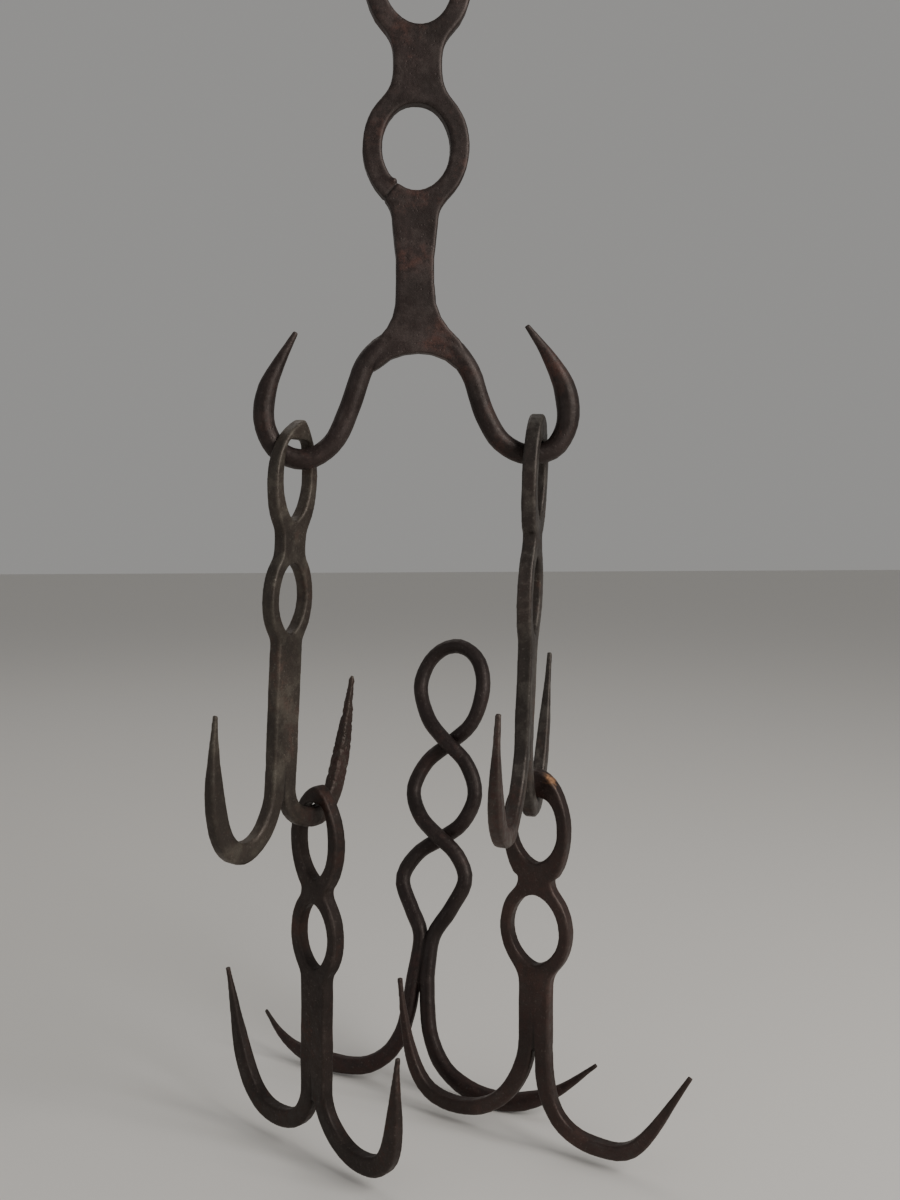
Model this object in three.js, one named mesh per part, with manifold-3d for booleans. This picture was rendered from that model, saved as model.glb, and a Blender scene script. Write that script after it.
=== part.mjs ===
// A set of hand-forged butcher's hooks: a two-armed hanger, two pairs of double hooks
// that hang from it one below the other, and a loose double hook of twisted rod.
// Millimetres, +Z up. X runs across the hanger and +Y points away from its front.
// The origin is the top of the hanger's upper eye, where the set hangs.

import * as THREE from 'three';
import * as BufferGeometryUtils from 'three/addons/utils/BufferGeometryUtils.js';
import Module from 'manifold-3d';

const wasm = await Module();
wasm.setup();

// ---- driving dimensions ----

const EDGE = 1.0;                // rounding of the flat bars' edges

const ROD = 12;                  // diameter of the hanger's round arms
const BAR = 9.5;                 // thickness of the hanger's flat bar
const RING_PITCH = 93;           // distance between the hanger's two eyes
const RING_HOLE = { width: 40, height: 49 };
const RING_LIMB = 10.8;          // width of the metal round an eye of the hanger
const BOW = 2;                   // how far the hanger's bar is off its own middle line

const TABLE = -737.5;            // the height that the loose hook stands on
const TWIST_ROD = 11.2;          // diameter of the loose hook's rod
const TWIST_DIP = 11;            // how far its leaning claws reach below its own origin
const TWIST_TURN = -30.5;        // degrees about Z
const TWIST_LEAN = -21;          // degrees, its top leaning away from the front
const TWIST_BACK = 123;          // how far it stands behind the hanger

// Each double hook hangs in an upright plane turned by `turn` about Z. `lean` tips that
// plane and `rock` turns the hook in it. Heights are measured down from the top of the
// hook. `perch` is how far the top of the upper hole stands above the rod, which wedges in
// its oval, and `slip` how far the middle of the hole stands to the right of the rod.
// `peak` says how pointed the top of the hook is, and `askew` how far that point stands to
// the right of the middle. `crown` is the power for the top of the upper hole, blunter as
// it falls. `limb` is the metal beside an eye, and an eye's hole is
// [top, bottom, half width]. `heft` is a claw's half width at its turn.
// A claw leaves the stem, turns at `out` from the middle and `down` from the top, and ends
// in a point `tipOut` from the middle and `tipDown` from the top, which slants outward by
// `slant` degrees. `fall`, `inner`, `outer` and `rise` say how full its bends are.
const MID_LEFT = {
  turn: 54, lean: 2.8, rock: -1, thickness: 8,
  perch: 4.5, slip: 0, peak: 1.5, askew: 5, crown: 0.3,
  limb: 7, eyes: [[11.4, 58.8, 12.6], [83.5, 125, 12.6]], waistHalf: 10.5, stemHalf: 11,
  crotch: 237, heft: 6.1,
  left: {
    out: 32, down: 249.5, tipOut: 60.5, tipDown: 166.5,
    fall: 18, inner: 14, outer: 25, rise: 44, slant: -2,
  },
  right: {
    out: 36.5, down: 241.5, tipOut: 70.5, tipDown: 157,
    fall: 18, inner: 18, outer: 22, rise: 45, slant: 9,
  },
};
const MID_RIGHT = {
  turn: 70, lean: 2, rock: -1, thickness: 8.5,
  perch: 1.8, slip: 0, peak: 1.15, askew: 0, crown: 0.6,
  limb: 8, eyes: [[16, 62, 13], [84, 131, 13]], waistHalf: 10.5, stemHalf: 10,
  crotch: 220, heft: 5.6,
  left: {
    out: 42, down: 243, tipOut: 82, tipDown: 167.5,
    fall: 18, inner: 16, outer: 24, rise: 60, slant: -6,
  },
  right: {
    out: 40, down: 245, tipOut: 84, tipDown: 150,
    fall: 18, inner: 15, outer: 22, rise: 58, slant: 8,
  },
};
const LOW_LEFT = {
  turn: -48, lean: 0, rock: -1, thickness: 9,
  perch: 3.3, slip: 2.5, peak: 1.4, askew: 1.5, crown: 0.6,
  limb: 7.6, eyes: [[10.6, 59.5, 13.4], [74.5, 116.5, 13]], waistHalf: 11, stemHalf: 11,
  crotch: 214, heft: 6,
  left: {
    out: 38.8, down: 225.5, tipOut: 90.5, tipDown: 141,
    fall: 25, inner: 18, outer: 34, rise: 43, slant: 18,
  },
  right: {
    out: 40.5, down: 227.5, tipOut: 71.5, tipDown: 152,
    fall: 22, inner: 16, outer: 36, rise: 41, slant: 7.5,
  },
};
const LOW_RIGHT = {
  turn: -38, lean: 0, rock: 0, thickness: 8.5,
  perch: 2.9, slip: 3.5, peak: 1.05, askew: 0, crown: 0.6,
  limb: 7.2, eyes: [[17, 60.5, 15.7], [80.5, 126.5, 17.5]], waistHalf: 12, stemHalf: 10.8,
  crotch: 194, heft: 4.8,
  left: {
    out: 63, down: 235.5, tipOut: 106, tipDown: 158,
    fall: 28, inner: 40, outer: 25, rise: 65, slant: 6,
  },
  right: {
    out: 47, down: 235.5, tipOut: 104.5, tipDown: 175.5,
    fall: 36, inner: 38, outer: 25, rise: 59, slant: 31,
  },
};

// ---- sections, given as unit outlines that a sweep scales ----

function roundSection(sides) {
  const points = [];
  for (let i = 0; i < sides; i++) {
    const angle = (2 * Math.PI * (i + 0.5)) / sides;
    points.push([Math.cos(angle), Math.sin(angle)]);
  }
  return points;
}

// a square bar with its corners hammered off
function forgedSection(flat = 0.7) {
  return [[1, flat], [flat, 1], [-flat, 1], [-1, flat], [-1, -flat], [-flat, -1], [flat, -1], [1, -flat]];
}

// ---- solids ----

function toManifold(geometry) {
  const bare = geometry.index ? geometry.toNonIndexed() : geometry.clone();
  for (const name of Object.keys(bare.attributes)) {
    if (name !== 'position') bare.deleteAttribute(name);
  }
  const merged = BufferGeometryUtils.mergeVertices(bare, 1e-3);
  const corners = merged.index.array;
  const faces = [];
  for (let i = 0; i < corners.length; i += 3) {
    const [a, b, c] = [corners[i], corners[i + 1], corners[i + 2]];
    if (a !== b && b !== c && c !== a) faces.push(a, b, c);
  }
  const mesh = new wasm.Mesh({
    numProp: 3,
    vertProperties: new Float32Array(merged.attributes.position.array),
    triVerts: new Uint32Array(faces),
  });
  return new wasm.Manifold(mesh);
}

function toGeometry(solid) {
  const mesh = solid.getMesh();
  const geometry = new THREE.BufferGeometry();
  geometry.setAttribute('position', new THREE.BufferAttribute(new Float32Array(mesh.vertProperties), 3));
  geometry.setIndex(new THREE.BufferAttribute(new Uint32Array(mesh.triVerts), 1));
  geometry.computeVertexNormals();
  return geometry;
}

function join(geometries) {
  const solids = geometries.map(toManifold);
  return toGeometry(solids.reduce((sum, solid) => sum.add(solid)));
}

// A solid swept along a curve that stays near the XZ plane. half(t) gives the section's
// half width in that plane and its half thickness across it.
function sweep(curve, steps, section, half) {
  const sides = section.length;
  const positions = [];
  const index = [];
  const across = new THREE.Vector3(0, -1, 0);
  for (let i = 0; i <= steps; i++) {
    const t = i / steps;
    const centre = curve.getPointAt(t);
    const along = curve.getTangentAt(t);
    const side = new THREE.Vector3().crossVectors(along, across).normalize();
    const normal = new THREE.Vector3().crossVectors(side, along);
    const [width, thickness] = half(t);
    for (const [a, b] of section) {
      const point = centre.clone().addScaledVector(side, a * width).addScaledVector(normal, b * thickness);
      positions.push(point.x, point.y, point.z);
    }
  }
  for (let i = 0; i < steps; i++) {
    for (let j = 0; j < sides; j++) {
      const a = i * sides + j;
      const b = i * sides + (j + 1) % sides;
      index.push(a, a + sides, b, b, a + sides, b + sides);
    }
  }
  const last = steps * sides;
  for (let j = 1; j < sides - 1; j++) {
    index.push(0, j, j + 1);
    index.push(last, last + j + 1, last + j);
  }
  const geometry = new THREE.BufferGeometry();
  geometry.setAttribute('position', new THREE.Float32BufferAttribute(positions, 3));
  geometry.setIndex(index);
  return geometry;
}

// ---- the flat bars with eyes ----

const EYE_LEAVE = THREE.MathUtils.degToRad(48);   // where an eye's oval meets the neck's hollow
const ARC_STEPS = 13;
const HOLLOW_STEPS = 7;
const HOLE_STEPS = 32;

// An oval with a power of its cosine for its width: above 1 its top is pointed, below 1 blunt.
function ovalPoint(eye, angle) {
  const power = angle > 0 ? eye.peak : 1;
  return new THREE.Vector2(eye.rx * Math.max(Math.cos(angle), 0) ** power, eye.z + eye.rz * Math.sin(angle));
}

function ovalDirection(eye, angle) {
  return new THREE.Vector2(eye.rx * Math.sin(angle), -eye.rz * Math.cos(angle)).normalize();
}

// An eye's hole: `crown` and `foot` are the powers for its upper and lower half.
function holePath(eye, limb) {
  const points = [];
  for (let i = 0; i < HOLE_STEPS; i++) {
    const angle = (2 * Math.PI * (i + 0.5)) / HOLE_STEPS;
    const power = Math.sin(angle) > 0 ? eye.crown : eye.foot;
    const width = Math.sign(Math.cos(angle)) * Math.abs(Math.cos(angle)) ** power;
    points.push(new THREE.Vector2((eye.rx - limb) * width, eye.z + eye.hole * Math.sin(angle)));
  }
  return new THREE.Path(points);
}

function hollow(from, fromDirection, to, toDirection) {
  const pull = from.distanceTo(to) * 0.4;
  const curve = new THREE.CubicBezierCurve(
    from,
    from.clone().addScaledVector(fromDirection, pull),
    to.clone().addScaledVector(toDirection, -pull),
    to,
  );
  return curve.getPoints(HOLLOW_STEPS).slice(1);
}

// The right-hand edge of a bar, from the top down: an oval round each eye, a hollow neck
// below each, and the stem's edge points, widest part given as [half width, height].
function barEdge(eyes, necks, stem) {
  const down = new THREE.Vector2(0, -1);
  const points = [];
  eyes.forEach((eye, i) => {
    const start = i === 0 ? Math.PI / 2 : EYE_LEAVE;
    if (i > 0) {
      points.push(...hollow(points.at(-1), down, ovalPoint(eye, start), ovalDirection(eye, start)));
    }
    for (let k = i === 0 ? 0 : 1; k <= ARC_STEPS; k++) {
      points.push(ovalPoint(eye, start + ((-EYE_LEAVE - start) * k) / ARC_STEPS));
    }
    const neck = new THREE.Vector2(...necks[i]);
    points.push(...hollow(points.at(-1), ovalDirection(eye, -EYE_LEAVE), neck, down));
  });
  points.push(...stem.map(([x, z]) => new THREE.Vector2(x, z)));
  return points;
}

// Extrudes the bar whose right-hand edge is given, mirrored, centred on the XZ plane.
function flatBar(edge, eyes, limb, thickness) {
  const left = edge.filter((p) => p.x > 0.01).reverse().map((p) => new THREE.Vector2(-p.x, p.y));
  const shape = new THREE.Shape([...edge, ...left]);
  for (const eye of eyes) {
    shape.holes.push(holePath(eye, limb));
  }
  const geometry = new THREE.ExtrudeGeometry(shape, {
    depth: thickness - 2 * EDGE,
    curveSegments: 12,
    bevelThickness: EDGE,
    bevelSize: EDGE,
    bevelOffset: -EDGE,
    bevelSegments: 1,
  });
  geometry.translate(0, 0, -(thickness / 2 - EDGE));
  geometry.rotateX(Math.PI / 2);
  return geometry;
}

// ---- the hanger ----

const ARM_LEFT = [
  [-4, -214], [-10, -225], [-22, -231.5], [-31.5, -242], [-36, -254], [-40.5, -267],
  [-50, -286.5], [-65, -296.5], [-80.5, -292.5], [-89.3, -277], [-88, -257], [-80.5, -240.5], [-71, -223.5],
];
const ARM_RIGHT = [
  [4, -214], [10, -226], [21, -232.5], [30.5, -245], [35, -258], [40, -271.5], [50, -286.5], [66, -293.3],
  [80.8, -289], [88.8, -274], [86.8, -254], [77, -235], [64, -217.5],
];

const ROOT_WIDER = 0.9;          // where an arm leaves the flat bar it is this much wider each way,
const ROOT_THINNER = 1.6;        // and this much thinner, so that it stays within the bar

function arm(points, swell) {
  const curve = new THREE.CatmullRomCurve3(points.map(([x, z]) => new THREE.Vector3(x, 0, z)));
  const half = (t) => {
    const taper = THREE.MathUtils.smoothstep(t, 0.74, 1.05);
    const root = 1 - THREE.MathUtils.smoothstep(t, 0.05, 0.2);
    const bulge = swell * Math.exp(-(((t - 0.77) / 0.12) ** 2));
    const radius = (ROD / 2 + bulge) * (1 - taper) + 1.2 * taper;
    return [radius + ROOT_WIDER * root, radius - ROOT_THINNER * root];
  };
  return sweep(curve, 44, roundSection(14), half);
}

// The hanger's flat bar is a little to the left of true between its upper eye and its crown.
function bow(bar) {
  const position = bar.getAttribute('position');
  for (let i = 0; i < position.count; i++) {
    const down = -position.getZ(i);
    const back = 1 - THREE.MathUtils.smoothstep(down, 195, 232);
    const amount = THREE.MathUtils.smoothstep(down, 40, 175) * back;
    position.setX(i, position.getX(i) - BOW * amount);
  }
}

function hangerGeometry() {
  const halfWidth = RING_HOLE.width / 2 + RING_LIMB;
  const halfHeight = RING_HOLE.height / 2 + RING_LIMB + 0.5;
  const eyes = [0, 1].map((i) => ({
    rx: halfWidth,
    rz: halfHeight,
    hole: RING_HOLE.height / 2,
    z: -RING_HOLE.height / 2 - i * RING_PITCH,
    peak: 1,
    crown: 1,
    foot: 1,
  }));
  const necks = [[13.8, -71], [13.2, -160]];
  const stem = [
    [10.9, -180], [10.9, -194], [11.6, -206], [14, -214], [18, -220.5], [24, -227],
    [29, -236], [26, -245], [22, -242.5], [16, -238], [8, -235.3], [0, -234.5],
  ];
  const bar = flatBar(barEdge(eyes, necks, stem), eyes, RING_LIMB, BAR);
  bow(bar);
  return join([bar, arm(ARM_LEFT, 0.2), arm(ARM_RIGHT, 1.0)]);
}

// ---- the double hooks ----

const TIP_HALF = 1.3;            // half width of a claw's blunt point
const CLAW_ROOT = 22;            // how far above the crotch a claw starts, inside the stem
const STEM_FOOT = 16;            // how far above the crotch the stem's straight edge ends
const STEM_END = 12;             // and how far above it the stem itself ends, between the claws
const CLAW_STEPS = 32;

function clawCurve(side, claw, hook) {
  const start = new THREE.Vector3(side * hook.stemHalf * 0.5, 0, -(hook.crotch - CLAW_ROOT));
  const turn = new THREE.Vector3(side * claw.out, 0, -claw.down);
  const tip = new THREE.Vector3(side * claw.tipOut, 0, -claw.tipDown);
  const slant = THREE.MathUtils.degToRad(claw.slant);
  const path = new THREE.CurvePath();
  path.add(new THREE.CubicBezierCurve3(
    start,
    start.clone().add(new THREE.Vector3(0, 0, -claw.fall)),
    turn.clone().add(new THREE.Vector3(-side * claw.inner, 0, 0)),
    turn,
  ));
  path.add(new THREE.CubicBezierCurve3(
    turn,
    turn.clone().add(new THREE.Vector3(side * claw.outer, 0, 0)),
    tip.clone().addScaledVector(new THREE.Vector3(-side * Math.sin(slant), 0, -Math.cos(slant)), claw.rise),
    tip,
  ));
  return path;
}

function clawGeometry(side, claw, hook) {
  const half = (t) => {
    const taper = THREE.MathUtils.smoothstep(t, 0.5, 1.02) ** 1.4;
    const leave = THREE.MathUtils.smoothstep(t, 0.12, 0.35);
    const full = THREE.MathUtils.lerp(hook.stemHalf * 0.5, hook.heft, leave);
    const width = full * (1 - taper) + TIP_HALF * taper;
    const thickness = (hook.thickness / 2) * (1 - taper) + TIP_HALF * taper;
    return [width, thickness];
  };
  return sweep(clawCurve(side, claw, hook), CLAW_STEPS, forgedSection(), half);
}

// Leans the top of a bar to the right, down to the middle of its upper eye.
function skew(bar, askew, height) {
  const position = bar.getAttribute('position');
  for (let i = 0; i < position.count; i++) {
    const up = Math.max(0, 1 + position.getZ(i) / height);
    position.setX(i, position.getX(i) + askew * up ** 4);
  }
}

function hookGeometry(hook) {
  const eyes = hook.eyes.map(([top, bottom, half]) => ({
    rx: half + hook.limb,
    rz: (bottom - top) / 2 + hook.limb + 1,
    hole: (bottom - top) / 2,
    z: -(top + bottom) / 2,
    peak: 1,
    crown: 1.1,
    foot: 1.25,
  }));
  eyes[0].rz = -eyes[0].z;
  eyes[0].peak = hook.peak;
  eyes[0].crown = hook.crown;
  const betweenEyes = -(hook.eyes[0][1] + hook.eyes[1][0]) / 2;
  const belowEyes = -(hook.eyes[1][1] + 14);
  const necks = [[hook.waistHalf, betweenEyes], [hook.stemHalf, belowEyes]];
  const stem = [[hook.stemHalf, -(hook.crotch - STEM_FOOT)], [0.8, -(hook.crotch - STEM_END)]];
  const bar = flatBar(barEdge(eyes, necks, stem), eyes, hook.limb, hook.thickness);
  skew(bar, hook.askew, -eyes[0].z);
  return join([bar, clawGeometry(-1, hook.left, hook), clawGeometry(1, hook.right, hook)]);
}

// ---- the loose hook of twisted rod ----

// Each pass of the rod as [across, up, forward]: up the stem, round the crossings to the top.
const CROSS = TWIST_ROD / 2 + 0.1;
const STEM_HALF = TWIST_ROD / 2 - 0.4;
const PASS_LEFT = [
  [-STEM_HALF, 62, 0], [-STEM_HALF, 96, 0], [-15.5, 113, 0], [-26.5, 134, 0], [-17.5, 155, -CROSS * 0.5],
  [-1, 168, -CROSS], [14.5, 181, -CROSS * 0.5], [22, 202, 0], [12.5, 224, CROSS * 0.5], [-7, 240, CROSS],
  [-24.5, 256, CROSS * 0.5], [-37, 283, 0], [-32, 303, 0], [-22, 313, 0], [-11, 316, 0], [-8, 315.8, 0],
];
const PASS_RIGHT = [
  [STEM_HALF, 62, 0], [STEM_HALF, 96, 0], [15.5, 116, 0], [24, 139, 0], [15.5, 156, CROSS * 0.5],
  [-1, 168, CROSS], [-18.5, 181, CROSS * 0.5], [-29, 200, 0], [-23, 223, -CROSS * 0.5], [-7, 240, -CROSS],
  [9.5, 256, -CROSS * 0.5], [16, 284, 0], [9.5, 304, 0], [-0.5, 313, 0], [-11, 316, 0], [-14, 315.8, 0],
];
const LEG_LEFT = [
  [-STEM_HALF, 66], [-5.4, 45], [-8.5, 25], [-17, 10], [-33, -0.5],
  [-60, -3.5], [-90, 0.5], [-108, 9.5], [-123.5, 23],
];
const LEG_RIGHT = [
  [STEM_HALF, 66], [8.6, 48], [14, 29], [27, 10], [47, -1.5], [75, -5], [97, 0.5], [114, 9.5], [138, 30],
];

function passGeometry(points) {
  const route = points.map(([x, z, forward]) => new THREE.Vector3(x, -forward, z));
  const curve = new THREE.CatmullRomCurve3(route);
  const radius = TWIST_ROD / 2;
  return sweep(curve, 56, roundSection(12), () => [radius, radius]);
}

function legGeometry(points) {
  const curve = new THREE.CatmullRomCurve3(points.map(([x, z]) => new THREE.Vector3(x, 0, z)));
  const half = (t) => {
    const flatten = THREE.MathUtils.smoothstep(t, 0.25, 0.6);
    const taper = THREE.MathUtils.smoothstep(t, 0.62, 1.02);
    const width = (TWIST_ROD / 2 + 0.9 * flatten) * (1 - taper) + TIP_HALF * taper;
    const thickness = (TWIST_ROD / 2 - 1.2 * flatten) * (1 - taper) + TIP_HALF * taper;
    return [width, thickness];
  };
  return sweep(curve, 26, roundSection(12), half);
}

function twistGeometry() {
  return join([
    passGeometry(PASS_LEFT),
    passGeometry(PASS_RIGHT),
    legGeometry(LEG_LEFT),
    legGeometry(LEG_RIGHT),
  ]);
}

// ---- the assembly ----

function iron(name, geometry, colour, roughness) {
  const material = new THREE.MeshStandardMaterial({ color: colour, roughness, metalness: 0.85 });
  const mesh = new THREE.Mesh(geometry, material);
  mesh.name = name;
  return mesh;
}

// Sets how a double hook hangs: its plane turned about Z, tipped, then rocked in that plane.
function hang(mesh, hook) {
  mesh.rotation.order = 'ZXY';
  mesh.rotation.z = THREE.MathUtils.degToRad(hook.turn);
  mesh.rotation.x = THREE.MathUtils.degToRad(hook.lean);
  mesh.rotation.y = THREE.MathUtils.degToRad(-hook.rock);
}

// Moves a hook so that its upper hole sits on a rod of radius `below` that passes through `seat`.
function seatOn(mesh, hook, seat, below) {
  hang(mesh, hook);
  const holeTop = new THREE.Vector3(-hook.slip, 0, -hook.eyes[0][0]).applyEuler(mesh.rotation);
  const rest = seat.clone().add(new THREE.Vector3(0, 0, below + hook.perch));
  mesh.position.copy(rest.sub(holeTop));
}

// The middle of a claw's turn, in the frame that the hook hangs in.
function clawTurn(mesh, claw) {
  return new THREE.Vector3(claw.out, 0, -claw.down).applyEuler(mesh.rotation).add(mesh.position);
}

const set = new THREE.Group();

const hanger = iron('hanger', hangerGeometry(), 0x3a302c, 0.55);
set.add(hanger);

const SADDLE_LEFT = new THREE.Vector3(-72.4, 0, -295.3);
const SADDLE_RIGHT = new THREE.Vector3(70.2, 0, -293);

const middleLeft = iron('middle_hook_left', hookGeometry(MID_LEFT), 0x45403a, 0.5);
seatOn(middleLeft, MID_LEFT, SADDLE_LEFT, ROD / 2);
set.add(middleLeft);

const middleRight = iron('middle_hook_right', hookGeometry(MID_RIGHT), 0x434039, 0.5);
seatOn(middleRight, MID_RIGHT, SADDLE_RIGHT, ROD / 2);
set.add(middleRight);

const lowLeft = iron('low_hook_left', hookGeometry(LOW_LEFT), 0x372b28, 0.55);
seatOn(lowLeft, LOW_LEFT, clawTurn(middleLeft, MID_LEFT.right), MID_LEFT.stemHalf * 0.5);
set.add(lowLeft);

const lowRight = iron('low_hook_right', hookGeometry(LOW_RIGHT), 0x3b2c28, 0.55);
seatOn(lowRight, LOW_RIGHT, clawTurn(middleRight, MID_RIGHT.right), MID_RIGHT.stemHalf * 0.5);
set.add(lowRight);

const twist = iron('twisted_hook', twistGeometry(), 0x34302d, 0.5);
twist.rotation.order = 'ZXY';
twist.rotation.z = THREE.MathUtils.degToRad(TWIST_TURN);
twist.rotation.x = THREE.MathUtils.degToRad(TWIST_LEAN);
twist.position.set(0, TWIST_BACK, TABLE + TWIST_DIP);
set.add(twist);

export default set;
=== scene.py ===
# The looks of a set of hand-forged iron butcher's hooks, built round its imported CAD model.
# Metres, in the model's own frame: +Z up, X across the hanger, +Y away from its front.

import math

import bpy
import numpy as np
from mathutils import Euler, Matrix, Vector, noise


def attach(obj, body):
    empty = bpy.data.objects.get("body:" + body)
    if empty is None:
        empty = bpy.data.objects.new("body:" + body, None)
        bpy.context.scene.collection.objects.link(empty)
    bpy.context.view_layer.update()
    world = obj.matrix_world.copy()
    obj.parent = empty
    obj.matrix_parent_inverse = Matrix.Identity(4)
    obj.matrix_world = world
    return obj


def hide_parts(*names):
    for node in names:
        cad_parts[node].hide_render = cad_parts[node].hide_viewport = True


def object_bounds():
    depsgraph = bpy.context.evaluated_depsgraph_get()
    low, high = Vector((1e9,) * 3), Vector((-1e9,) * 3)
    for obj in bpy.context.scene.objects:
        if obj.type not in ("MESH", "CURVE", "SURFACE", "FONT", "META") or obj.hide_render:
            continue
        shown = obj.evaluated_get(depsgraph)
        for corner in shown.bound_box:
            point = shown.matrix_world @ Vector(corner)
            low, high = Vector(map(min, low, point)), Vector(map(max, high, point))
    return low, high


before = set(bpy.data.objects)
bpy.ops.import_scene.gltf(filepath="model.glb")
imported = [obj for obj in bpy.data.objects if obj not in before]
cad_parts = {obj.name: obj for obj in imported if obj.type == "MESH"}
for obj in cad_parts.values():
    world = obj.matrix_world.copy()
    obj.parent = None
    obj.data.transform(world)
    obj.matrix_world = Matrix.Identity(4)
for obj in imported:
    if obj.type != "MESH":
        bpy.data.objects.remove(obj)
CAD_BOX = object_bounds()
TABLE_HEIGHT = CAD_BOX[0][2]

# ---- driving values: the forged skin ----

VOXEL = 0.0006            # mesh size of the skin: gaps in the iron narrower than this may fuse
SOFTEN = 3                # rounds of smoothing that take the CAD's edges off
FAIR = 12                 # rounds of smoothing that nearly keep the volume
STEP_IN = 0.5             # a round moves a point by this share of the way to its neighbours' middle
STEP_OUT = 0.52           # and a fairing round then moves it back by this share
SWELL = 0.00015           # how far the whole skin is moved outwards at the end
EDGE_BLUR = 3             # rounds of blur on the measure of edges and hollows

DENT = 0.0003             # height of the broad hammer dents
RIPPLE = 0.00012          # height of the finer unevenness
DENT_LUMPS = 62           # lumps to the metre
RIPPLE_LUMPS = 170
FINE_LUMPS = 480
RIPPLE_SHARE = 0.7
FINE_SHARE = 0.3
SEED_STEP = (3.1, 1.7, 5.3)         # how far the pattern is shifted from one piece to the next

# ---- driving values: marks on single pieces ----

# The crotch of each double hook, to within 0.2 mm, and the turn of its flat about Z in degrees.
STEMS = {
    "middle_hook_left": ((-0.0838, 0.0033, -0.5101), 54),
    "middle_hook_right": ((0.0623, -0.0009, -0.4890), 70),
    "low_hook_left": ((-0.0633, 0.0337, -0.7098), -48),
    "low_hook_right": ((0.0777, 0.0344, -0.6838), -38),
}
SPLIT_LENGTH = 0.034
SPLIT_WIDTH = 0.0009
SPLIT_DEPTH = 0.0007
SPLIT_FOOT = -0.002                 # where it starts, just under the crotch
SPLIT_FADE = (0.35, 1.1)            # where it fades, in lengths of the split

# Reddened and pitted claws: (none, full) across from the middle line and up from the crotch.
RED_ACROSS = (0.012, 0.03)
RED_UP = (-0.05, -0.01)
CLAW_RED = 0.9
PIT_ACROSS = (0.038, 0.046)
PIT_UP = (0.0, 0.02)
PIT_LUMPS = 330
PIT_FINE_LUMPS = 700
PIT_FINE_SHARE = 0.6
PIT_DEPTH = 0.0008
PIT_LIP = 0.0003

WELD_INNER = (-0.0115, -0.1375)     # X and Z, on the hanger's lower eye
WELD_OUTER = (-0.0235, -0.1515)
WELD_WIDTH = 0.0007
WELD_DEPTH = 0.0006
WELD_LIP = (-0.0142, -0.1372)
WELD_LIP_RADIUS = 0.0016
WELD_LIP_HEIGHT = 0.0011

# A highlight painted on the shoulder of the low right hook's upper eye: its middle, how far it
# reaches, and how ragged its rim is.
HIGHLIGHT_SPOT = (0.0862, 0.0262, -0.4925)
HIGHLIGHT_REACH = (0.0025, 0.0065)     # full, none
HIGHLIGHT_LUMPS = 420
HIGHLIGHT_RAGGED = 0.5
LOW_RIGHT_RED = 0.55
TWISTED_RED = 0.6
TWISTED_RED_UP = (0.03, 0.09)       # full, none, up from the table

# ---- driving values: the camera and the studio ----

EYE_POINT = Vector((-0.0559, -0.7079, -0.3295))
EYE_AZIMUTH = 6           # degrees to the right of straight ahead
EYE_PITCH = -4            # degrees above level
SENSOR = 36.0
LENS = 36.0
CLIP_START = 0.01

WORLD_COLOUR = (0.80, 0.79, 0.77, 1)
WORLD_STRENGTH = 0.38
LIGHT_TARGET = (0, 0, -0.4)
LIGHTS = {
    "key": dict(place=(1.1, -1.0, 0.35), size=(0.9, 1.2), power=24.0, colour=(1.0, 0.97, 0.93)),
    "fill": dict(place=(-1.3, -0.9, -0.1), size=(1.0, 1.2), power=2.0, colour=(0.93, 0.96, 1.0)),
    "back": dict(place=(-0.5, 1.3, 1.5), size=(1.6, 1.6), power=7.0, colour=(1.0, 0.98, 0.95)),
}
FLOOR_SIZE = 16.0
FLOOR_CELLS = 4
FLOOR_COLOUR = (0.72, 0.70, 0.67, 1)
FLOOR_ROUGHNESS = 0.8

# ---- driving values: iron ----

# Noise: lumps to the metre, detail, roughness.
BROAD = (30, 5, 0.6)
MOTTLE = (210, 7, 0.68)
SCALE = (75, 6, 0.6)
GRIT = (1300, 4, 0.7)
DRIFT = (24, 4, 0.55)
FLECKS = (620, 3, 0.6)
SPARSE = (110, 2, 0.55)

# Spans: a value from the first to the second number becomes 0 to 1, or the third to the fourth.
RUST_SPAN = (0.56, 0.66)
PATCH_SPAN = (0.47, 0.6)
DRIFT_SPAN = (0.36, 0.64, 0.66, 1.36)
SPECKLE_SPAN = (0.6, 0.78, 0.0, 0.45)
WORN_EDGE_SPAN = (0.02, 0.10)
WORN_MOTTLE_SPAN = (0.42, 0.62, 0.15, 0.75)
RED_MOTTLE_SPAN = (0.38, 0.6, 0.25, 1.0)
HIGHLIGHT_MOTTLE_SPAN = (0.35, 0.55, 0.3, 1.0)
# Painted shade in hollows: the colour is darkened there, down to the third number's share in the
# deepest.
PAINTED_SHADE_SPAN = (-0.07, -0.005, 0.4, 1.0)
FLECK_SPAN = (0.60, 0.72)
GRIT_SPAN = (0.3, 0.7, 0.72, 1.22)
ROUGH_SPAN = (0.3, 0.7)
PIT_SPAN = (0.0, 0.34)
SPARSE_SPAN = (0.5, 0.6)

RUST_SHIFT = 0.12         # how far full rust moves its span
RUST_BROAD = 0.6          # shares of each noise in the rust, and in the patches of patina
RUST_MOTTLE = 0.4
PATCH_SCALE = 0.7
PATCH_MOTTLE = 0.3
PATCH_AMOUNT = 0.8
CRACK_AMOUNT = 0.9
FLECK_AMOUNT = 0.75
ROUGH_RISE = 0.22         # from the smoothest places to the roughest
WORN_SMOOTHER = 0.12
HIGHLIGHT_SMOOTHER = 0.16
METALLIC = 0.25
SPECULAR = 0.5
SPECULAR_TINT = (1.0, 0.88, 0.82, 1)
PIT_CELLS = 430           # to the metre
RELIEF_MOTTLE = 0.7       # shares in the fine relief
RELIEF_GRIT = 0.1
RELIEF_PITS = 0.5
BUMP_STRENGTH = 0.5
BUMP_HEIGHT = 0.0006

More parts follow.
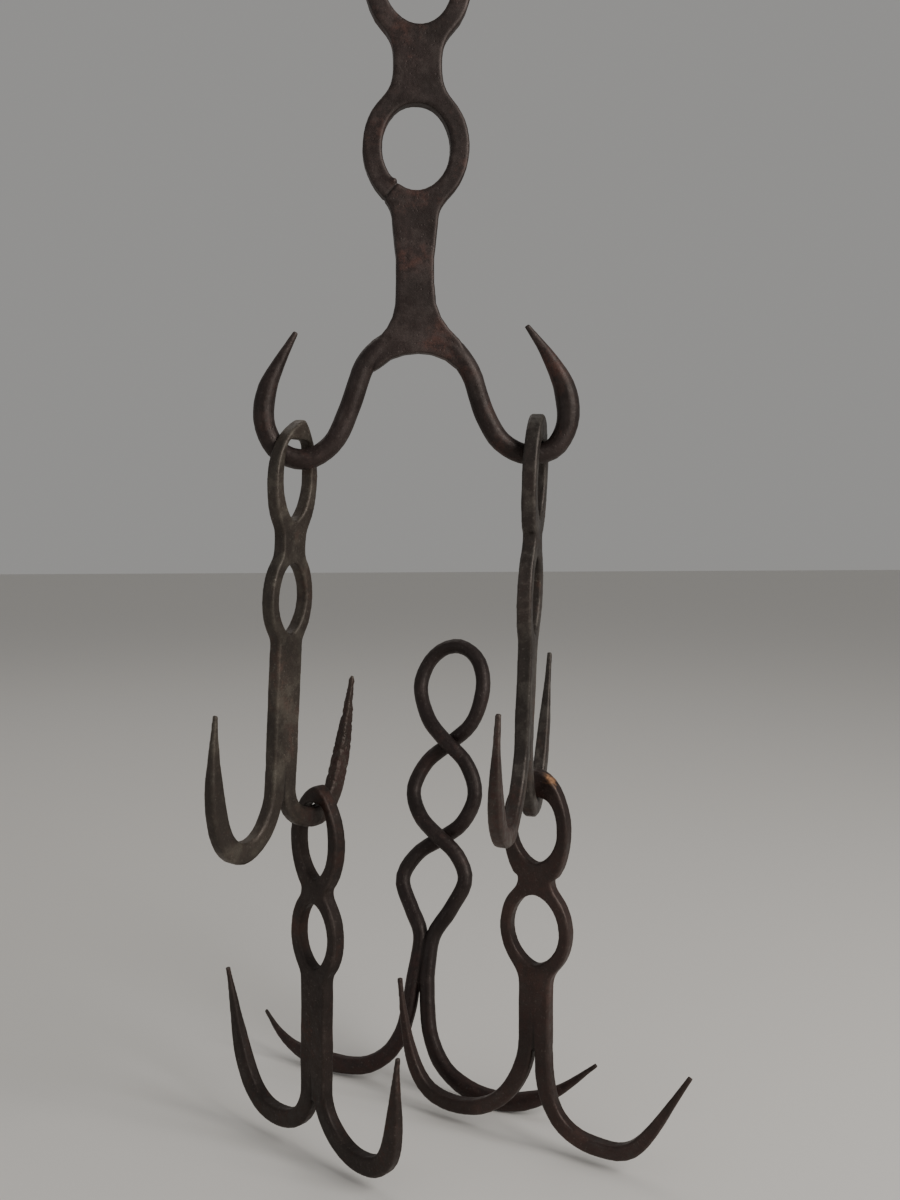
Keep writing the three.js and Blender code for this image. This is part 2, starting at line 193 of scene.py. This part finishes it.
# Colours are in scene-linear RGB.
RED_IRON = (0.030, 0.0125, 0.0105)
# The painted highlight's colour, a light coppery orange.
PAINTED_HIGHLIGHT_IRON = (0.42, 0.21, 0.10)
CRACK_IRON = (0.004, 0.003, 0.003)

# Each piece's iron: four colours, rust from 0 to 1, and its least roughness where it isn't worn.
IRONS = {
    "hanger": dict(
        dark=(0.0155, 0.0095, 0.009), brown=(0.044, 0.019, 0.015),
        patina=(0.031, 0.0225, 0.021), worn=(0.052, 0.042, 0.038), rust=0.5, sheen=0.40),
    "middle_hook_left": dict(
        dark=(0.033, 0.026, 0.021), brown=(0.050, 0.031, 0.024),
        patina=(0.061, 0.053, 0.042), worn=(0.105, 0.096, 0.078), rust=0.3, sheen=0.40),
    "middle_hook_right": dict(
        dark=(0.022, 0.018, 0.016), brown=(0.044, 0.025, 0.019),
        patina=(0.058, 0.052, 0.045), worn=(0.080, 0.074, 0.064), rust=0.3, sheen=0.38),
    "low_hook_left": dict(
        dark=(0.011, 0.0065, 0.0055), brown=(0.035, 0.0145, 0.0105),
        patina=(0.020, 0.0135, 0.0115), worn=(0.070, 0.056, 0.050), rust=0.45, sheen=0.44),
    "low_hook_right": dict(
        dark=(0.020, 0.013, 0.0115), brown=(0.040, 0.022, 0.018),
        patina=(0.027, 0.022, 0.020), worn=(0.068, 0.052, 0.045), rust=0.6, sheen=0.38),
    "twisted_hook": dict(
        dark=(0.0105, 0.0062, 0.0062), brown=(0.027, 0.0125, 0.011),
        patina=(0.018, 0.0125, 0.012), worn=(0.058, 0.052, 0.045), rust=0.4, sheen=0.40),
}

# ---- the camera and the studio ----


def make_camera():
    data = bpy.data.cameras.new("camera")
    data.sensor_fit = "VERTICAL"
    data.sensor_height = SENSOR
    data.lens = LENS
    data.clip_start = CLIP_START
    camera = bpy.data.objects.new("camera", data)
    camera.location = EYE_POINT
    camera.rotation_euler = Euler((math.radians(90 + EYE_PITCH), 0, -math.radians(EYE_AZIMUTH)))
    bpy.context.scene.collection.objects.link(camera)
    bpy.context.scene.camera = camera


def area_light(name, place, size, power, colour):
    data = bpy.data.lights.new(name, "AREA")
    data.shape = "RECTANGLE"
    data.size, data.size_y = size
    data.energy = power
    data.color = colour
    light = bpy.data.objects.new(name, data)
    light.location = place
    aim = Vector(LIGHT_TARGET) - Vector(place)
    light.rotation_euler = aim.to_track_quat("-Z", "Y").to_euler()
    bpy.context.scene.collection.objects.link(light)


def make_world():
    world = bpy.data.worlds.new("studio")
    world.use_nodes = True
    background = world.node_tree.nodes["Background"]
    background.inputs["Color"].default_value = WORLD_COLOUR
    background.inputs["Strength"].default_value = WORLD_STRENGTH
    bpy.context.scene.world = world


def make_floor():
    bpy.ops.mesh.primitive_grid_add(
        x_subdivisions=FLOOR_CELLS, y_subdivisions=FLOOR_CELLS,
        size=FLOOR_SIZE, location=(0, 0, TABLE_HEIGHT))
    floor = bpy.context.active_object
    floor.name = "floor"
    material = bpy.data.materials.new("pale_floor")
    material.use_nodes = True
    shader = material.node_tree.nodes["Principled BSDF"]
    shader.inputs["Base Color"].default_value = FLOOR_COLOUR
    shader.inputs["Roughness"].default_value = FLOOR_ROUGHNESS
    floor.data.materials.append(material)


# ---- forged surfaces ----


class Surface:
    """A dense mesh held as arrays, to be smoothed and hammered."""

    def __init__(self, mesh):
        self.mesh = mesh
        self.co = np.empty(len(mesh.vertices) * 3)
        mesh.vertices.foreach_get("co", self.co)
        self.co = self.co.reshape(-1, 3)
        edges = np.empty(len(mesh.edges) * 2, dtype=np.int64)
        mesh.edges.foreach_get("vertices", edges)
        self.a, self.b = edges.reshape(-1, 2).T
        self.degree = np.bincount(edges, minlength=len(self.co))

    def around(self, values):
        """The mean of each vertex's neighbours."""
        total = np.bincount(self.a, values[self.b], len(values))
        total += np.bincount(self.b, values[self.a], len(values))
        return total / self.degree

    def offset(self):
        """From each vertex to the middle of its neighbours."""
        return np.stack([self.around(self.co[:, k]) for k in range(3)], axis=1) - self.co

    def soften(self, rounds):
        for _ in range(rounds):
            self.co += STEP_IN * self.offset()

    def fair(self, rounds):
        for _ in range(rounds):
            self.co += STEP_IN * self.offset()
            self.co -= STEP_OUT * self.offset()

    def normals(self):
        """Each vertex's normal, after the mesh has been brought up to date."""
        self.write()
        out = np.empty(len(self.co) * 3)
        self.mesh.vertices.foreach_get("normal", out)
        return out.reshape(-1, 3)

    def crowning(self, blur):
        """How far each vertex stands out from its surroundings: + on edges, - in hollows."""
        lift = -(self.offset() * self.normals()).sum(axis=1) / VOXEL
        for _ in range(blur):
            lift = 0.5 * lift + 0.5 * self.around(lift)
        return lift

    def write(self):
        self.mesh.vertices.foreach_set("co", self.co.ravel())
        self.mesh.update()

    def store(self, name, values):
        attribute = self.mesh.attributes.new(name, "FLOAT", "POINT")
        attribute.data.foreach_set("value", values.astype(np.float32))


def remeshed(node):
    """The node's solid as one closed skin of even small faces."""
    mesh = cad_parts[node].data.copy()
    part = bpy.data.objects.new("source", mesh)
    bpy.context.scene.collection.objects.link(part)
    remesh = part.modifiers.new("skin", "REMESH")
    remesh.mode = "VOXEL"
    remesh.voxel_size = VOXEL
    evaluated = part.evaluated_get(bpy.context.evaluated_depsgraph_get())
    skin = bpy.data.meshes.new_from_object(evaluated)
    bpy.data.objects.remove(part)
    bpy.data.meshes.remove(mesh)
    return skin


def hammer_marks(points, seed):
    """Heights of a hand-hammered face: wide shallow dents, and a finer unevenness."""
    shift = Vector([seed * step for step in SEED_STEP])
    heights = np.empty(len(points))
    for i, point in enumerate(points):
        p = Vector(point)
        broad = noise.noise(p * DENT_LUMPS + shift)
        middle = noise.noise(p * RIPPLE_LUMPS + shift)
        fine = noise.noise(p * FINE_LUMPS + shift)
        heights[i] = DENT * broad + RIPPLE * (RIPPLE_SHARE * middle + FINE_SHARE * fine)
    return heights


def lumps(points, scale):
    """Noise at each point, with `scale` lumps to the metre."""
    return np.array([noise.noise(Vector(p) * scale) for p in points])


def smooth(low, high, values):
    """0 below low, 1 above high, with a soft step between."""
    t = np.clip((values - low) / (high - low), 0, 1)
    return t * t * (3 - 2 * t)


def flat_places(points, middle, turn):
    """Each point's distance across a hook's flat, from its middle line, and height over it."""
    angle = math.radians(turn)
    right = (points[:, 0] - middle[0]) * math.cos(angle)
    back = (points[:, 1] - middle[1]) * math.sin(angle)
    return right + back, points[:, 2] - middle[2]


def near_line(across, height, start, end, width):
    """1 on the line between two places on the flat, fading out over `width`."""
    start = np.array(start)
    line = np.array(end) - start
    place = np.stack([across, height], axis=1) - start
    along = np.clip(place @ line / (line @ line), 0, 1)
    gap = np.linalg.norm(place - along[:, None] * line, axis=1)
    return np.exp(-((gap / width) ** 2))


class Marks:
    """What the smith and the years left on one piece, and a highlight painted onto it: where it
    sinks, and what shows there.
    """

    def __init__(self, points):
        self.points = points
        self.sink = np.zeros(len(points))
        self.crack = np.zeros(len(points))
        self.red = np.zeros(len(points))
        self.bright = np.zeros(len(points))

    def split(self, middle, turn):
        """The line above a crotch, where one bar was slit into two claws."""
        across, height = flat_places(self.points, middle, turn)
        line = near_line(across, height, (0, SPLIT_FOOT), (0, SPLIT_LENGTH), SPLIT_WIDTH)
        low, high = SPLIT_FADE
        line *= 1 - smooth(SPLIT_LENGTH * low, SPLIT_LENGTH * high, height)
        self.sink += SPLIT_DEPTH * line
        self.crack = np.maximum(self.crack, line)

    def redden(self, middle, turn, side):
        """A claw that rusted redder than its stem: side is 1 to the right, -1 to the left."""
        across, height = flat_places(self.points, middle, turn)
        claw = smooth(*RED_ACROSS, across * side) * smooth(*RED_UP, height)
        self.red = np.maximum(self.red, CLAW_RED * claw)

    def pit(self, middle, turn, side):
        """Deep pitting along a claw's upright, which leaves its edges ragged."""
        across, height = flat_places(self.points, middle, turn)
        claw = smooth(*PIT_ACROSS, across * side) * smooth(*PIT_UP, height)
        fine = lumps(self.points, PIT_FINE_LUMPS)
        bites = lumps(self.points, PIT_LUMPS) + PIT_FINE_SHARE * fine
        self.sink += PIT_DEPTH * claw * np.clip(bites, 0, 1)
        self.sink -= PIT_LIP * claw * np.clip(-bites, 0, 1)


def forge(node, seed, material, marking):
    """Shows a CAD node as a forged piece, smoothed, hammered and marked."""
    surface = Surface(remeshed(node))
    surface.soften(SOFTEN)
    surface.fair(FAIR)
    edge = surface.crowning(EDGE_BLUR)
    marks = Marks(surface.co)
    marking(marks)
    heights = hammer_marks(surface.co, seed)
    surface.co += surface.normals() * (SWELL + heights - marks.sink)[:, None]
    if not np.isfinite(surface.co).all():
        raise ValueError(node + " has points that are not numbers")
    surface.write()
    surface.store("edge", edge)
    surface.store("crack", marks.crack)
    surface.store("red", marks.red)
    surface.store("bright", marks.bright)
    faces = surface.mesh.polygons
    faces.foreach_set("use_smooth", np.ones(len(faces), dtype=bool))
    surface.mesh.materials.clear()
    surface.mesh.materials.append(material)
    piece = bpy.data.objects.new(node + "_forged", surface.mesh)
    bpy.context.scene.collection.objects.link(piece)
    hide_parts(node)
    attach(piece, node)


# ---- what shows on each piece ----


def mark_hanger(marks):
    """A weld across the lower left of the lower eye, left a little proud at its inner end."""
    across, height = marks.points[:, 0], marks.points[:, 2]
    seam = near_line(across, height, WELD_INNER, WELD_OUTER, WELD_WIDTH)
    marks.sink += WELD_DEPTH * seam
    marks.crack = np.maximum(marks.crack, seam)
    reach = np.hypot(across - WELD_LIP[0], height - WELD_LIP[1])
    marks.sink -= WELD_LIP_HEIGHT * np.exp(-((reach / WELD_LIP_RADIUS) ** 2))


def mark_middle_left(marks):
    """Its right claw is reddened and deeply pitted."""
    marks.split(*STEMS["middle_hook_left"])
    marks.redden(*STEMS["middle_hook_left"], 1)
    marks.pit(*STEMS["middle_hook_left"], 1)


def mark_middle_right(marks):
    """Its left claw, the near one, is reddened."""
    marks.split(*STEMS["middle_hook_right"])
    marks.redden(*STEMS["middle_hook_right"], -1)


def mark_low_left(marks):
    marks.split(*STEMS["low_hook_left"])


def mark_low_right(marks):
    """Redder all over, with a highlight painted as a light coppery spot on the shoulder of the
    upper eye.
    """
    marks.split(*STEMS["low_hook_right"])
    marks.red[:] = LOW_RIGHT_RED
    reach = np.linalg.norm(marks.points - np.array(HIGHLIGHT_SPOT), axis=1)
    ragged = 1 + HIGHLIGHT_RAGGED * lumps(marks.points, HIGHLIGHT_LUMPS)
    marks.bright = 1 - smooth(*HIGHLIGHT_REACH, reach * ragged)


def mark_twisted(marks):
    """Redder near the table."""
    full, none = TWISTED_RED_UP
    low = 1 - smooth(TABLE_HEIGHT + full, TABLE_HEIGHT + none, marks.points[:, 2])
    marks.red = np.maximum(marks.red, TWISTED_RED * low)


MARKINGS = {
    "hanger": mark_hanger,
    "middle_hook_left": mark_middle_left,
    "middle_hook_right": mark_middle_right,
    "low_hook_left": mark_low_left,
    "low_hook_right": mark_low_right,
    "twisted_hook": mark_twisted,
}

# ---- iron ----


class Nodes:
    """Short calls for building a material's node tree."""

    def __init__(self, material):
        material.use_nodes = True
        self.tree = material.node_tree
        self.shader = self.tree.nodes["Principled BSDF"]
        self.place = self.add("ShaderNodeTexCoord").outputs["Object"]

    def add(self, kind, **settings):
        node = self.tree.nodes.new(kind)
        for key, value in settings.items():
            setattr(node, key, value)
        return node

    def link(self, source, target):
        self.tree.links.new(source, target)

    def put(self, value, socket):
        """Links an output to a socket, or sets a plain value on it."""
        if isinstance(value, bpy.types.NodeSocket):
            self.link(value, socket)
        else:
            socket.default_value = value

    def noise(self, scale, detail, rough):
        node = self.add("ShaderNodeTexNoise")
        self.link(self.place, node.inputs["Vector"])
        node.inputs["Scale"].default_value = scale
        node.inputs["Detail"].default_value = detail
        node.inputs["Roughness"].default_value = rough
        return node.outputs["Fac"]

    def cells(self, scale):
        node = self.add("ShaderNodeTexVoronoi")
        self.link(self.place, node.inputs["Vector"])
        node.inputs["Scale"].default_value = scale
        node.inputs["Randomness"].default_value = 1.0
        return node.outputs["Distance"]

    def span(self, value, low, high, to_low=0.0, to_high=1.0):
        node = self.add("ShaderNodeMapRange", interpolation_type="SMOOTHSTEP")
        self.link(value, node.inputs["Value"])
        node.inputs["From Min"].default_value = low
        node.inputs["From Max"].default_value = high
        node.inputs["To Min"].default_value = to_low
        node.inputs["To Max"].default_value = to_high
        return node.outputs["Result"]

    def math(self, operation, first, second):
        node = self.add("ShaderNodeMath", operation=operation)
        self.put(first, node.inputs[0])
        self.put(second, node.inputs[1])
        return node.outputs["Value"]

    def plus(self, first, second):
        return self.math("ADD", first, second)

    def minus(self, first, second):
        return self.math("SUBTRACT", first, second)

    def times(self, first, second):
        return self.math("MULTIPLY", first, second)

    def blend(self, amount, first, second, kind="MIX"):
        """Mixes two colours. Sockets 0, 6 and 7 of this node are its factor and its colours."""
        node = self.add("ShaderNodeMix", data_type="RGBA", blend_type=kind)
        self.put(amount, node.inputs[0])
        for socket, colour in ((node.inputs[6], first), (node.inputs[7], second)):
            plain = isinstance(colour, tuple)
            self.put((*colour, 1) if plain else colour, socket)
        return node.outputs[2]

    def grey(self, value):
        node = self.add("ShaderNodeCombineColor")
        for key in ("Red", "Green", "Blue"):
            self.link(value, node.inputs[key])
        return node.outputs["Color"]

    def attribute(self, name):
        return self.add("ShaderNodeAttribute", attribute_name=name).outputs["Fac"]


def iron(name, dark, brown, patina, worn, rust, sheen):
    """Old forged iron: dark scale, rust-brown, patches of patina, and paler worn edges, with
    painted shade darkening its hollows and a painted highlight where one is marked.
    """
    material = bpy.data.materials.new(name)
    n = Nodes(material)
    broad = n.noise(*BROAD)
    mottle = n.noise(*MOTTLE)
    scale = n.noise(*SCALE)
    grit = n.noise(*GRIT)
    edge = n.attribute("edge")
    crack = n.attribute("crack")
    red = n.attribute("red")
    bright = n.attribute("bright")

    mixed = n.plus(n.times(broad, RUST_BROAD), n.times(mottle, RUST_MOTTLE))
    rusted = n.span(mixed, *(limit - RUST_SHIFT * rust for limit in RUST_SPAN))
    colour = n.blend(rusted, dark, brown)
    patchy = n.plus(n.times(scale, PATCH_SCALE), n.times(mottle, PATCH_MOTTLE))
    patch = n.times(n.span(patchy, *PATCH_SPAN), PATCH_AMOUNT)
    colour = n.blend(patch, colour, patina)
    drift = n.span(n.noise(*DRIFT), *DRIFT_SPAN)
    colour = n.blend(n.span(grit, *SPECKLE_SPAN), colour, brown)
    wear = n.times(n.span(edge, *WORN_EDGE_SPAN), n.span(mottle, *WORN_MOTTLE_SPAN))
    reddened = n.times(red, n.span(mottle, *RED_MOTTLE_SPAN))
    colour = n.blend(reddened, colour, RED_IRON)
    colour = n.blend(wear, colour, worn)
    # Painted highlight: a light coppery spot on the low right hook, ragged by the mottle.
    highlight_amount = n.times(bright, n.span(mottle, *HIGHLIGHT_MOTTLE_SPAN))
    colour = n.blend(highlight_amount, colour, PAINTED_HIGHLIGHT_IRON)
    colour = n.blend(n.times(crack, CRACK_AMOUNT), colour, CRACK_IRON)
    # Painted shade: the colour is darkened in the hollows.
    painted_hollow_shade = n.span(edge, *PAINTED_SHADE_SPAN)
    flecks = n.times(n.span(n.noise(*FLECKS), *FLECK_SPAN), FLECK_AMOUNT)
    colour = n.blend(flecks, colour, worn)
    # Random tone from the grit and the drift, times the painted shade in the hollows.
    shade = n.times(n.times(n.span(grit, *GRIT_SPAN), painted_hollow_shade), drift)
    colour = n.blend(1.0, colour, n.grey(shade), "MULTIPLY")
    n.link(colour, n.shader.inputs["Base Color"])

    rough = n.span(mottle, *ROUGH_SPAN, sheen, sheen + ROUGH_RISE)
    rough = n.minus(rough, n.times(wear, WORN_SMOOTHER))
    # The painted highlight's spot is also made smoother.
    rough = n.minus(rough, n.times(bright, HIGHLIGHT_SMOOTHER))
    n.link(rough, n.shader.inputs["Roughness"])
    n.shader.inputs["Metallic"].default_value = METALLIC
    n.shader.inputs["Specular IOR Level"].default_value = SPECULAR
    n.shader.inputs["Specular Tint"].default_value = SPECULAR_TINT

    pits = n.span(n.cells(PIT_CELLS), *PIT_SPAN)
    sparse = n.span(n.noise(*SPARSE), *SPARSE_SPAN)
    pitted = n.plus(1.0, n.times(sparse, n.minus(pits, 1.0)))
    relief = n.plus(n.times(mottle, RELIEF_MOTTLE), n.times(grit, RELIEF_GRIT))
    relief = n.plus(relief, n.times(pitted, RELIEF_PITS))
    bump = n.add("ShaderNodeBump")
    bump.inputs["Strength"].default_value = BUMP_STRENGTH
    bump.inputs["Distance"].default_value = BUMP_HEIGHT
    n.link(relief, bump.inputs["Height"])
    n.link(bump.outputs["Normal"], n.shader.inputs["Normal"])
    return material


# ---- the scene ----

make_camera()
make_world()
for name, light in LIGHTS.items():
    area_light(name, **light)
make_floor()

for seed, (node, look) in enumerate(IRONS.items(), start=1):
    forge(node, seed, iron(node + "_iron", **look), MARKINGS[node])
